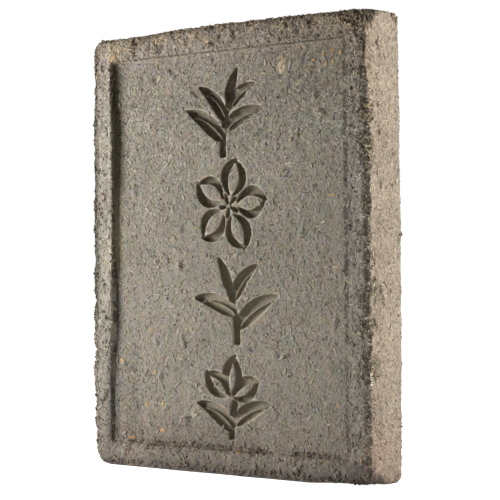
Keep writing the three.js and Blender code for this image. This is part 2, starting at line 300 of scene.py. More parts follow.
def only(*pieces: bpy.types.Object) -> None:
    """Selects some objects, makes the first one active and deselects the rest.

    Args:
        pieces: The objects.
    """
    bpy.ops.object.select_all(action="DESELECT")
    for piece in pieces:
        piece.select_set(True)
    bpy.context.view_layer.objects.active = pieces[0]


def apply_modifier(piece: bpy.types.Object, modifier: bpy.types.Modifier) -> None:
    """Applies a modifier to the piece that it is on."""
    only(piece)
    bpy.ops.object.modifier_apply(modifier=modifier.name)


def dress(piece: bpy.types.Object, material: bpy.types.Material) -> None:
    """Gives a piece one material all over."""
    piece.data.materials.clear()
    piece.data.materials.append(material)


def triangles_of(piece: bpy.types.Object) -> int:
    """Counts a piece's triangles."""
    return sum(len(p.vertices) - 2 for p in piece.data.polygons)


def hand_over(piece: bpy.types.Object, material: bpy.types.Material) -> None:
    """Dresses a finished piece, which then rides on the brick's body and stands for the solid.

    Args:
        piece: The piece.
        material: Its material.
    """
    dress(piece, material)
    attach(piece, BODY)
    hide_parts(NODE)
    log.info("%s: %d triangles", piece.name, triangles_of(piece))


# ---- The brick's own measures ----


@dataclass(frozen=True)
class BrokenEdge:
    """The broken band along one front edge.

    It reaches `width` in over the pressed face and `behind` back over the flank, and `strength` says how
    broken it is.
    """

    width: float
    behind: float
    strength: float = 1.0


@dataclass(frozen=True)
class Brick:
    """The sizes of the pressed slab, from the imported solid."""

    half_width: float
    height: float
    front: float = -13.5
    rim: float = 13.3
    wall_run: float = 1.1
    panel_depth: float = 3.3
    stroke_depth: float = 3.2
    worn_foot: float = 1.4
    right: BrokenEdge = BrokenEdge(4.6, 1.5)
    left: BrokenEdge = BrokenEdge(2.6, 1.2)
    top: BrokenEdge = BrokenEdge(3.2, 1.8)
    bottom: BrokenEdge = BrokenEdge(4.6, 2.6, 0.6)

    @classmethod
    def from_frame(cls) -> "Brick":
        """Reads the slab's outer sizes from the frame.

        Returns:
            The sizes.
        """
        low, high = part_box(NODE)
        sides_swell = 1.2
        return cls(half_width=(high.x - low.x) / 2 / MM - sides_swell, height=high.z / MM)


@dataclass(frozen=True)
class Scar:
    """A crumbled spot in a face that stands upright: its place, its half sizes, and its depth to 1.

    `along` runs with X on the pressed face and with Y on a flank.
    """

    along: float
    z: float
    half_along: float
    half_z: float
    depth: float


FRONT_SCARS = (
    Scar(-63.5, 233.0, 2.2, 9.0, 1.0),
    Scar(-66.0, 200.8, 4.0, 1.3, 0.5),
    Scar(-57.5, 197.2, 2.0, 1.1, 0.5),
    Scar(28.5, 190.7, 1.4, 1.2, 0.6),
    Scar(58.0, 13.6, 6.0, 1.6, 0.6),
    Scar(-24.0, 14.8, 8.0, 1.5, 0.7),
    Scar(20.0, 14.2, 9.0, 1.7, 0.8),
    Scar(84.0, 236.0, 11.0, 5.0, 1.0),
    Scar(88.0, 230.5, 3.6, 4.5, 1.0),
    Scar(92.0, 188.0, 5.0, 7.0, 0.7),
    Scar(92.5, 170.0, 3.8, 9.0, 0.8),
    Scar(91.5, 95.0, 5.4, 8.0, 0.6),
    Scar(90.5, 80.0, 5.0, 4.5, 0.6),
    Scar(91.0, 59.0, 5.4, 7.0, 0.6),
    Scar(30.0, 3.0, 7.0, 2.5, 0.4),
)
FLANK_SCARS = (
    Scar(9.5, 237.0, 4.0, 3.2, 1.0),
    Scar(3.2, 129.5, 1.2, 1.2, 0.8),
    Scar(-6.3, 190.8, 1.6, 1.0, 0.6),
    Scar(-13.5, 239.0, 10.0, 8.5, 1.0),
    Scar(-13.0, 187.0, 3.2, 6.0, 0.6),
    Scar(-13.0, 162.5, 4.4, 4.5, 0.6),
    Scar(-12.6, 112.0, 3.6, 9.0, 0.7),
    Scar(-12.0, 98.0, 6.4, 8.0, 0.75),
    Scar(-12.6, 82.0, 4.6, 7.0, 0.7),
    Scar(-12.4, 61.0, 6.5, 11.0, 0.75),
    Scar(-12.8, 36.0, 3.4, 12.0, 0.6),
    Scar(-4.0, 2.0, 4.0, 3.0, 0.4),
)


@dataclass(frozen=True)
class Surface:
    """What the body keeps at each point of its surface, mostly as shares from 0 to 1.

    Attributes:
        broken: The crumbling bands and scars.
        soil: How much darker the leaf is: dirt and painted crevice shade on the broken edges, darker near the
            base and at the upper right, and paler by painted light on the panel's upper walls.
        light: How much paler the leaf is all over, or darker where it is below 0: mostly painted light and
            shade, and the rubbed left rim.
        flank: The outer sides of the slab.
        rim: The raised rim of the pressed face.
        lines: The thin dark lines of the panel.
        lip: The rubbed edge between the rim and the panel's wall.
        bare: Where fragments find no hold.
        warm: Where the leaf is yellowish.
        stroke_gap: The distance to the nearest stroke.
    """

    broken: Value
    soil: Value
    light: Value
    flank: Value
    rim: Value
    lines: Value
    lip: Value
    bare: Value
    warm: Value
    stroke_gap: Value


class Spot:
    """A place on the slab as a node tree sees it, and what the leaf is like there."""

    def __init__(self, brick: Brick, canvas: Canvas, place: Value) -> None:
        """Splits the place into its three parts, of which z starts at the base.

        Args:
            brick: The slab.
            canvas: The tree that asks.
            place: The place.
        """
        self.brick = brick
        self.canvas = canvas
        self.place = place
        self.x, self.y, self.z = canvas.axes(place)

    @cached_property
    def right(self) -> Value:
        """Gives the distance in from the right side."""
        return self.x * -1 + self.brick.half_width

    @cached_property
    def left(self) -> Value:
        """Gives the distance in from the left side."""
        return self.x + self.brick.half_width

    @cached_property
    def top(self) -> Value:
        """Gives the distance down from the top."""
        return self.z * -1 + self.brick.height

    @cached_property
    def behind(self) -> Value:
        """Gives the distance back from the front."""
        return self.y - self.brick.front

    @cached_property
    def inset(self) -> Value:
        """Gives the distance in from the nearest side."""
        return self.right.math("MINIMUM", self.left).math("MINIMUM", self.top.math("MINIMUM", self.z))

    @cached_property
    def on_face(self) -> Value:
        """Tells the pressed face, with its panel, from what lies behind it."""
        return self.behind.fall(self.brick.panel_depth + 0.7, self.brick.panel_depth + 1.2)

    @cached_property
    def ragged(self) -> Value:
        """Gives the unevenness of a broken spot's border."""
        return self._noise(3.5, 3.0) * 1.5 - 0.75

    def surface(self, upright: Value, stroke_gap: Value) -> Surface:
        """Works out what the body keeps here.

        Args:
            upright: How far the surface stands across the pressed face, from 0 to 1.
            stroke_gap: The distance to the nearest stroke.

        Returns:
            What the body keeps.
        """
        x, z, on_face, rim_width = self.x, self.z, self.on_face, self.brick.rim
        ledge = self._ledge() * on_face
        broken = self._broken().larger(self._scarred(x, FRONT_SCARS) * on_face)
        broken = broken.larger(self._scarred(self.y, FLANK_SCARS) * self.right.fall(3.0, 5.0)).larger(ledge)
        flank = upright * self.inset.fall(2.5, 4.5) * broken.inverse()
        rim = self.inset.fall(rim_width - 0.5, rim_width + 0.3) * on_face
        lip = self.left.near(rim_width - 0.6, 0.5, 1.6) * rim * z.ramp(50.0, 85.0)
        wall = upright * self.inset.ramp(9.0, 11.0) * on_face
        lines = self.lines()
        bare = lines.larger(wall * 0.75).larger(z.fall(5.0, 13.0) * on_face * 0.6)

        high_corner = x.ramp(20.0, 60.0) * z.ramp(185.0, 210.0) * on_face
        # Darker on the broken edges, by dirt and by painted shade in their crevices; darker near the base and
        # at the upper right; paler on the panel's upper walls by painted light.
        soil = broken * (self._noise(9.0).ramp(0.35, 0.65) * 0.17 + 0.02) * z.ramp(3.0, 12.0, (0.1, 1.0))
        soil = soil + z.fall(4.0, 14.0) * on_face * 0.08 + high_corner * 0.06
        soil = soil - wall * self.top.fall(15.0, 18.0, 0.12)
        warm = self.top.fall(5.0, 15.0) * self._noise(6.0).ramp(0.4, 0.6) * on_face * 1.4
        warm = warm.larger(broken * z.ramp(120.0, 190.0, (0.35, 0.9))).larger(ledge * 1.6) + high_corner * 0.3
        # A warm cast painted in the left wall's shadow, high up.
        warm = warm + self.left.band(13.4, 14.4, 17.0, 24.0) * on_face * z.ramp(90.0, 125.0)
        # A warm cast on the painted shade along the left front edge.
        warm = warm + self.left.fall(2.7, 5.7, 0.6) * z.ramp(60.0, 100.0) * self._near_front(self.behind)
        return Surface(broken, soil, self._light(), flank, rim, lines, lip, bare, warm, stroke_gap)

    def lines(self) -> Value:
        """Works out the panel's dark lines: painted shade along the foot of its wall, and a seam of fine dirt
        along its right side.

        Returns:
            How much darker the leaf is here.
        """
        z, height = self.z, self.brick.height
        past_foot = self.inset * -1 + (self.brick.rim + self.brick.wall_run)
        gaps = z.fall(16.0, 20.0) * self._noise(12.0).ramp(0.4, 0.5)
        # Painted shade in the crease at the wall's foot: thin all round, and wider in patches below the top.
        thin = past_foot.near(-0.1, 0.1, 0.5) * (gaps * -0.8 + 1)
        wide = past_foot.near(0.4, 0.3, 1.7) * self._noise(4.0).ramp(0.42, 0.6)
        wide = wide * z.fall(height * 0.9, height * 0.92)
        seam = self.right.near(17.2, 0.6, 2.4) * self.inset.ramp(14.0, 17.0)
        seam = seam * self._noise(5.0, 3.0).ramp(0.38, 0.52) * z.ramp(60.0, 130.0, (0.35, 0.5))
        return (thin.larger(wide) * 0.45).larger(seam) * self.on_face

    def drawn_back(self) -> Value:
        """Works out how far eroded edges and the uneven panel stand back from the solid.

        Returns:
            The shift here.
        """
        x, z, left, top, behind = self.x, self.z, self.left, self.top, self.behind
        right_edge = self.right.fall(0.5, 7.0) * behind.fall(1.0, 6.0) * z.ramp(1.0, 8.0)
        wander = self._noise(13.0) * 4.0 - 2.0
        left_edge = left.fall(0.5, 6.0) * behind.fall(1.0, 8.0) * z.ramp(1.0, 8.0)
        uneven = (self._other_noise(9.0) - 0.5) * z.ramp(90.0, 130.0, (6.0, 3.4))
        low_left = left.fall(16.0, 26.0) * z.fall(45.0, 110.0, 0.9) * z.ramp(2.0, 14.0)
        inner_left = left.band(3.0, 11.0, 17.0, 28.0) * z.fall(190.0, 208.0)
        widening = z.ramp(66.0, 86.0) * -0.5 + z.ramp(96.0, 124.0) * 1.5 + z.ramp(140.0, 165.0) * 0.8
        rounding = left.fall(0.0, 10.0) * top.fall(0.0, 9.0, 2.8)
        inward = right_edge * (z.ramp(185.0, 215.0) * 1.5 + wander) - left_edge * uneven
        inward = inward + low_left - inner_left * widening - rounding

        rim, panel = self.brick.rim, self.brick.panel_depth
        beside = left.band(rim + 0.9, rim + 2.2, 19.0, 34.0)
        in_panel = beside * behind.ramp(panel - 1.2, panel - 0.4) * self.on_face
        high_up = z.ramp(150.0, 180.0) * top.ramp(14.0, 32.0) * 0.45
        deeper = in_panel * (z.ramp(40.0, 85.0, (-1.9, 0.1)) - z.ramp(105.0, 125.0) * 0.3 + high_up)

        sagging = x.ramp(-95.0, -60.0, (0.2, 1.0)) * x.fall(-62.0, -25.0) * top.fall(0.0, 8.0) * -1.0
        foot = x.ramp(50.0, 80.0) * self.y.fall(-8.0, 6.0) * z.fall(0.0, 4.0, self.brick.worn_foot)
        chipped = left.fall(0.0, 12.0) * z.fall(0.0, 9.0, 2.4) * behind.fall(4.0, 9.0)
        return self.canvas.joined("ShaderNodeCombineXYZ", inward * -1, deeper, sagging + foot + chipped)

    def _light(self) -> Value:
        """Works out where the leaf is paler all over, as on the rubbed left rim and in painted light, or
        darker, as in the painted shade near the base.

        Returns:
            The share by which the leaf is paler, or darker where it is below 0.
        """
        high_right = self.x.ramp(20.0, 60.0) * self.z.ramp(160.0, 190.0)
        face = self._light_on_left() + self._light_on_right() - self._shade_near_base() - high_right * 0.08
        side = self.z.ramp(20.0, 80.0, (-0.08, 0.0))
        return face * self.on_face + side * self.on_face.inverse() - self._shade_at_corners()

    def _light_on_left(self) -> Value:
        """Works out the left rim's paler and darker parts, partly rubbed and partly painted light and shade,
        and the painted shade and light in the panel beside it, about the left wall's shadow.

        Returns:
            How much paler the leaf is.
        """
        z, left, top, rim = self.z, self.left, self.top, self.brick.rim
        on_rim = left.fall(rim - 0.3, rim + 0.7)
        rubbed = on_rim * left.ramp(1.0, 5.0) * z.ramp(50.0, 85.0) * top.ramp(8.0, 24.0)
        # Painted light on the left rim at mid height.
        painted_rim_light = on_rim * left.ramp(4.0, 7.0) * z.band(80.0, 95.0, 118.0, 135.0, 0.22)
        # Painted shade on the inner part of the lower left rim.
        painted_low_rim_shade = on_rim * left.ramp(7.5, 12.5) * z.fall(55.0, 80.0) * z.ramp(12.0, 16.0)
        # Painted shade along the left front edge.
        painted_left_edge_shade = left.fall(2.7, 5.7) * z.ramp(60.0, 100.0) * self._near_front(self.behind.larger(0.0))
        # Painted shade that widens and softens the left wall's shadow low down, and painted light on the wall
        # inside that shadow.
        painted_shadow_edge = left.band(14.2, 14.7, 14.6, 21.5, 0.58) - left.band(12.6, 13.2, 14.0, 14.6, 0.8)
        painted_shadow_edge = painted_shadow_edge * z.fall(80.0, 125.0) * z.ramp(13.8, 15.2)
        # Painted shadow that darkens and widens the left wall's shadow high up.
        shaded = left.band(14.2, 14.7, 16.5, 27.0) * z.ramp(125.0, 170.0, (0.0, 0.55)) * top.ramp(13.0, 16.0)
        above = top.fall(2.0, 9.0, 0.22) * left.fall(14.0, 24.0)
        return rubbed * 0.20 + painted_rim_light - painted_low_rim_shade * 0.50 - painted_left_edge_shade * 0.62 - painted_shadow_edge - shaded - above

    def _light_on_right(self) -> Value:
        """Works out the light on the right rim, and the shade at its inner wall.

        Returns:
            How much paler the leaf is.
        """
        z, right = self.z, self.right
        wall = right.band(12.4, 13.2, 14.4, 15.4, 0.30) * z.ramp(13.0, 16.0) * self.top.ramp(13.0, 16.0)
        wall = wall * (z.band(85.0, 100.0, 140.0, 155.0, 0.6) + 1.0)
        inner_rim = right.band(8.5, 10.0, 12.8, 14.0) * z.band(55.0, 75.0, 185.0, 200.0, 0.2)
        return right.fall(12.0, 15.0) * z.ramp(50.0, 85.0, (0.0, 0.12)) - wall - inner_rim

    def _shade_near_base(self) -> Value:
        """Works out the shade along the pressed face's lower rim.

        Returns:
            How much darker the leaf is.
        """
        x, z = self.x, self.z
        middle = x.ramp(-75.0, -45.0, (0.08, 0.24)) - x.ramp(5.0, 35.0) * 0.15 + x.ramp(45.0, 80.0) * 0.08
        shade = z.fall(16.0, 36.0) * middle + z.fall(0.5, 8.0, 0.22)
        shade = shade + self.left.fall(14.0, 24.0) * z.fall(12.0, 18.0, 0.17)
        return shade + z.fall(8.0, 16.0) * (x.ramp(0.0, 25.0, (0.0, 0.1)) + x.ramp(60.0, 75.0) * 0.12)

    def _shade_at_corners(self) -> Value:
        """Works out the painted shade at the upper and lower right corners and on the right front edge, less
        painted light on the edge's shoulder and near its foot.

        Returns:
            How much darker the leaf is.
        """
        z, right, top, ragged, behind = self.z, self.right, self.top, self.ragged, self.behind.larger(0.0)
        high = behind * 0.1 + top * 0.11 + ragged * 0.5 - behind.ramp(0.5, 2.5, (0.0, 0.3))
        high = high.fall(0.75, 1.1, 0.42) * behind.ramp(0.5, 2.0, (1.0, 1.6)) * right.fall(9.0, 14.0)
        low = (behind * 0.062 + z * 0.08 + ragged * 0.2).fall(0.85, 1.1)
        low = low * behind.ramp(3.5, 7.0, (0.26, 0.66)) * right.fall(6.0, 20.0)
        # Painted light on the right front edge's shoulder and near its foot.
        shoulder = right.fall(2.0, 5.0) * behind.band(1.2, 2.2, 4.0, 8.0, 0.28)
        shoulder = shoulder * z.ramp(175.0, 195.0) * top.ramp(9.0, 14.0)
        low_edge = right.fall(4.0, 7.0) * behind.fall(0.4, 1.6) * z.fall(22.0, 34.0, 0.45)
        return high + low - shoulder - low_edge

    def _broken(self) -> Value:
        """Works out the broken bands along the four front edges.

        Returns:
            How broken the surface is, from 0 to 1.
        """
        brick = self.brick
        insets = (self.right, self.left, self.top, self.z)
        bands = []
        for inward, edge in zip(insets, (brick.right, brick.left, brick.top, brick.bottom)):
            reach = self._reach(inward * (1 / edge.width), self.behind * (1 / edge.behind)) + self.ragged
            bands.append(reach.fall(0.72, 1.0, edge.strength))
        return reduce(Value.larger, bands)

    def _scarred(self, along: Value, scars: Sequence[Scar]) -> Value:
        """Works out the crumbled spots of one face.

        Args:
            along: The place's part that runs along the face.
            scars: The face's spots.

        Returns:
            How broken the surface is, from 0 to 1.
        """
        ragged = self.ragged * 0.8
        spots = []
        for scar in scars:
            across, up = (along - scar.along) * (1 / scar.half_along), (self.z - scar.z) * (1 / scar.half_z)
            spots.append((self._reach(across, up) + ragged).fall(0.6, 1.0) * scar.depth)
        return reduce(Value.larger, spots)

    def _ledge(self) -> Value:
        """Works out where crumbs lie on the panel's lower ledge.

        Returns:
            How broken the surface is, from 0 to 1.
        """
        rim = self.brick.rim
        between = self.right.math("MINIMUM", self.left).ramp(rim + 1.0, rim + 5.0)
        patches = self._noise(7.0, 3.0).ramp(0.42, 0.54)
        stretches = self._other_noise(20.0, 1.0).ramp(0.42, 0.54)
        return self.z.near(rim + 0.6, 0.8, 2.0) * between * patches * stretches * 0.6

    def _reach(self, across: Value, along: Value) -> Value:
        """Joins two distances at right angles to each other into one."""
        return (across * across + along * along).math("POWER", 0.5)

    def _near_front(self, behind: Value) -> Value:
        """Tells a narrow ragged band along the front edges from what lies behind it."""
        return (behind * 0.3 + self.ragged * 0.5).fall(0.3, 1.2)

    def _noise(self, size: float, detail: float = 2.0) -> Value:
        """Gives smooth noise here."""
        return self.canvas.noise(self.place, size, detail)

    def _other_noise(self, size: float, detail: float = 2.0) -> Value:
        """Gives smooth noise here that has nothing to do with the first."""
        return self.canvas.noise(self.canvas.scaled(self.place, -1.0), size, detail)


# ---- The body ----


@dataclass
class BodyRelief:
    """The body of pressed leaf: the solid's own form with fine relief."""

    brick: Brick
    grid: float = 0.6
    triangles: int = 194_000
    mosaic_size: float = 2.2
    mosaic_height: float = 0.16
    lump_size: float = 9.0
    lump_height: float = 0.45
    pit_size: float = 6.0
    pit_depth: float = 0.6
    chip_depth: float = 0.45
    crag_size: float = 2.6
    crag_height: float = 2.2
    weld: float = 0.001

    def build(self) -> bpy.types.Object:
        """Builds the body's mesh.

        Returns:
            The piece.
        """
        solid = frame["nodes"][NODE]
        only(solid)
        bpy.ops.object.duplicate()
        body = bpy.context.active_object
        body.name = "pressed_body"
        for key in [k for k in body.keys() if k.startswith("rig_")]:
            del body[key]
        body.parent = None
        bpy.ops.object.mode_set(mode="EDIT")
        bpy.ops.mesh.select_all(action="SELECT")
        bpy.ops.mesh.remove_doubles(threshold=self.weld * MM)
        bpy.ops.object.mode_set(mode="OBJECT")
        remesh = body.modifiers.new("close mesh", "REMESH")
        remesh.mode = "VOXEL"
        remesh.voxel_size = self.grid * MM
        apply_modifier(body, remesh)
        self._relief(body, solid)
        thin = body.modifiers.new("thin", "DECIMATE")
        thin.ratio = min(1.0, self.triangles / triangles_of(body))
        apply_modifier(body, thin)
        only(body)
        bpy.ops.object.shade_smooth()
        return body

    def _relief(self, body: bpy.types.Object, solid: bpy.types.Object) -> None:
        """Moves the body's points, and stores what the finish and the fragments read.

        Args:
            body: The body.
            solid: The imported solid, which has the strokes.
        """
        canvas, geometry = geometry_canvas("leaf relief")
        normal = canvas.value("GeometryNodeInputNormal", "Normal")
        place = canvas.scaled(canvas.position(), 1 / MM)
        spot = Spot(self.brick, canvas, place)
        upright = canvas.axes(normal)[1].math("ABSOLUTE").fall(0.55, 0.85)
        surface = spot.surface(upright, self._stroke_gap(spot, solid))
        open_face = surface.stroke_gap.ramp(0.1, 1.2)

        tone = canvas.axes(canvas.cells(place, self.mosaic_size))[0]
        smooth = open_face.ramp(0.0, 1.0, (0.35, 1.0))
        mosaic = (tone - 0.5) * (surface.rim + 1.0) * self.mosaic_height * smooth
        lumps = (canvas.noise(place, self.lump_size) - 0.5) * self.lump_height
        pit_cell = (canvas.axes(canvas.cells(place, self.pit_size))[1] + surface.rim * 0.12).ramp(0.86, 0.9)
        pit = pit_cell * canvas.cells(place, self.pit_size, "Distance").fall(0.1, 0.4) * -self.pit_depth
        crags = (canvas.noise(place, self.crag_size, 3.0) - 0.5) * self.crag_height - self.chip_depth
        lift = (mosaic + lumps + (pit + crags * surface.broken) * open_face) * spot.z.ramp(0.0, 1.5)
        moved = geometry
        for shift in (canvas.scaled(normal, lift * MM), canvas.scaled(spot.drawn_back(), MM)):
            inputs = {"Geometry": moved, "Offset": shift}
            moved = canvas.value("GeometryNodeSetPosition", "Geometry", inputs)
        for name, kept in {**vars(surface), "hollow": lift * -1}.items():
            moved = canvas.keep(moved, name, kept, "POINT")
        finish_geometry(canvas, moved, body)

    def _stroke_gap(self, spot: Spot, solid: bpy.types.Object) -> Value:
        """Measures the distance to the nearest sunken stroke, which is 0 inside a stroke.

        Args:
            spot: The place.
            solid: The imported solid.

        Returns:
            The distance.
        """
        canvas, brick = spot.canvas, self.brick
        margin = brick.rim + 3
        floor = brick.front + brick.panel_depth + 0.3
        inside = (
            spot.y.math("GREATER_THAN", floor)
            * spot.y.math("LESS_THAN", floor + brick.stroke_depth)
            * spot.x.math("ABSOLUTE").math("LESS_THAN", brick.half_width - margin)
            * spot.z.math("GREATER_THAN", margin)
            * spot.z.math("LESS_THAN", brick.height - margin)
        )
        target = canvas.value("GeometryNodeObjectInfo", "Geometry", {"Object": solid})
        inputs = {"Geometry": target, "Selection": inside}
        strokes = canvas.value("GeometryNodeSeparateGeometry", "Selection", inputs, domain="FACE")
        inputs = {"Geometry": strokes, "Sample Position": canvas.position()}
        gap = canvas.value("GeometryNodeProximity", "Distance", inputs, target_element="FACES")
        return gap * (1 / MM)


# ---- The finishes ----


@dataclass(frozen=True)
class LeafFinish:
    """A dry leaf finish: its colours from dark to pale."""

    dark: Triple
    middle: Triple
    pale: Triple
    roughness: float = 0.85


PRESSED_LEAF = LeafFinish((0.052, 0.041, 0.031), (0.195, 0.173, 0.140), (0.36, 0.33, 0.27))
FINE_LEAF = LeafFinish((0.100, 0.088, 0.070), (0.225, 0.201, 0.163), (0.37, 0.34, 0.28))
CHIPPED_LEAF = LeafFinish((0.120, 0.106, 0.085), (0.225, 0.202, 0.165), (0.34, 0.312, 0.26))
SLIM_LEAF = LeafFinish((0.075, 0.064, 0.050), (0.210, 0.188, 0.152), (0.38, 0.35, 0.285))
BROAD_LEAF = LeafFinish((0.150, 0.134, 0.109), (0.235, 0.212, 0.175), (0.34, 0.31, 0.255))
DARK_LEAF = LeafFinish((0.046, 0.036, 0.027), (0.095, 0.079, 0.062), (0.18, 0.157, 0.127))
PALE_STALK = LeafFinish((0.20, 0.175, 0.130), (0.32, 0.285, 0.22), (0.46, 0.42, 0.34))
GOLDEN_TIP = LeafFinish((0.17, 0.115, 0.055), (0.29, 0.205, 0.100), (0.43, 0.34, 0.19))
CRUMB = LeafFinish((0.060, 0.046, 0.034), (0.175, 0.146, 0.113), (0.38, 0.33, 0.255))
PALE_CRUMB = LeafFinish((0.24, 0.208, 0.160), (0.37, 0.333, 0.27), (0.53, 0.49, 0.41))
CREAM = LeafFinish((0.20, 0.155, 0.105), (0.40, 0.325, 0.235), (0.54, 0.46, 0.35))
GOLD = LeafFinish((0.13, 0.085, 0.045), (0.34, 0.225, 0.105), (0.46, 0.34, 0.19))
WHITE = LeafFinish((0.30, 0.26, 0.21), (0.60, 0.55, 0.48), (0.74, 0.69, 0.62))


class ShaderGroups:
    """The effects that several finishes share, each built once as a node group."""

    @cached_property
    def grain(self) -> bpy.types.NodeTree:
        """Gives the leaf grain: fine unevenness of tone and height.

        Returns:
            The group.
        """
        canvas, inside = self._start("leaf grain", {"Place": "Vector", "Size": "Float"}, {"Height": "Float"})
        fine = canvas.noise(inside["Place"], 0.8, 3.0, 0.65)
        inputs = {"Vector": inside["Place"], "Scale": inside["Size"]}
        fold = canvas.value("ShaderNodeTexVoronoi", "Distance", inputs, feature="F1")
        canvas.add("NodeGroupOutput", {"Height": fine * 0.6 + fold * 0.4})
        return canvas.tree

    @cached_property
    def tint(self) -> bpy.types.NodeTree:
        """Gives the leaf tint.

        A tone turns to a colour that wanders between greenish and purplish, and grows tan on the flanks.

        Returns:
            The group.
        """
        colours = {"Dark": "Color", "Middle": "Color", "Pale": "Color"}
        plain = ("Tone", "Hue", "Flank", "Warm", "Light", "Calm", "Olive")
        inputs = {"Place": "Vector", **dict.fromkeys(plain, "Float"), **colours}
        canvas, inside = self._start("leaf tint", inputs, {"Color": "Color"})
        tone, hue, place = inside["Tone"], inside["Hue"], inside["Place"]
        _, y, z = canvas.axes(place)
        colour = canvas.mixed(tone.ramp(0.0, 0.5), inside["Dark"], inside["Middle"])
        colour = canvas.mixed(tone.ramp(0.5, 1.0), colour, inside["Pale"])

        greenish, purplish = (0.95, 1.015, 0.99), (1.045, 0.985, 1.0)
        bluish, sallow = (0.985, 0.99, 1.075), (1.025, 1.01, 0.89)
        wandering = canvas.noise(place, 6.0).ramp(0.35, 0.65)
        other = canvas.noise(canvas.scaled(place, -1.0), 5.0).ramp(0.3, 0.7)
        leaf = canvas.mixed(hue.ramp(0.15, 0.5), (1.03, 1.01, 0.93), (0.98, 1.0, 1.01))
        leaf = canvas.mixed(hue.ramp(0.6, 0.95), leaf, (1.035, 0.985, 1.0))
        lively = inside["Calm"].inverse()
        for cast in (canvas.mixed(wandering, greenish, purplish), canvas.mixed(other, bluish, sallow), leaf):
            colour = canvas.cast(lively, colour, cast)

        ends = z.fall(12.0, 40.0, 1.3) + z.ramp(196.0, 226.0, (0.0, 1.4)) * y.fall(-12.0, -9.0)
        clouds = canvas.noise(place, 28.0).ramp(0.3, 0.7)
        ruddy, yellow = (1.045, 0.975, 0.975), (1.08, 1.03, 0.86)
        olive, tan = (1.04, 1.01, 0.86), (1.14, 1.055, 1.0)
        colour = canvas.cast(ends, colour, ruddy)
        colour = canvas.cast(inside["Warm"], colour, yellow)
        colour = canvas.cast(1.0, colour, canvas.mixed(clouds, (0.92, 0.92, 0.92), (1.07, 1.07, 1.07)))
        colour = canvas.cast(inside["Olive"], colour, olive)
        colour = canvas.cast(inside["Flank"] * y.ramp(6.0, 12.0, (1.0, 0.4)), colour, tan)
        canvas.add("NodeGroupOutput", {"Color": canvas.cast(1.0, colour, inside["Light"] + 1)})
        return canvas.tree

    def _start(
        self, name: str, inputs: dict[str, str], outputs: dict[str, str]
    ) -> tuple[Canvas, dict[str, Value]]:
        """Starts a shader group.

        Args:
            name: The group's name.
            inputs: The kind of each input.
            outputs: The kind of each output.

        Returns:
            The canvas to draw in, and the inputs.
        """
        tree = bpy.data.node_groups.new(name, "ShaderNodeTree")
        for in_out, sockets in (("INPUT", inputs), ("OUTPUT", outputs)):
            for socket, kind in sockets.items():
                tree.interface.new_socket(name=socket, in_out=in_out, socket_type="NodeSocket" + kind)
        canvas = Canvas(tree)
        node = canvas.add("NodeGroupInput")
        return canvas, {socket: Value(canvas, node.outputs[socket]) for socket in inputs}


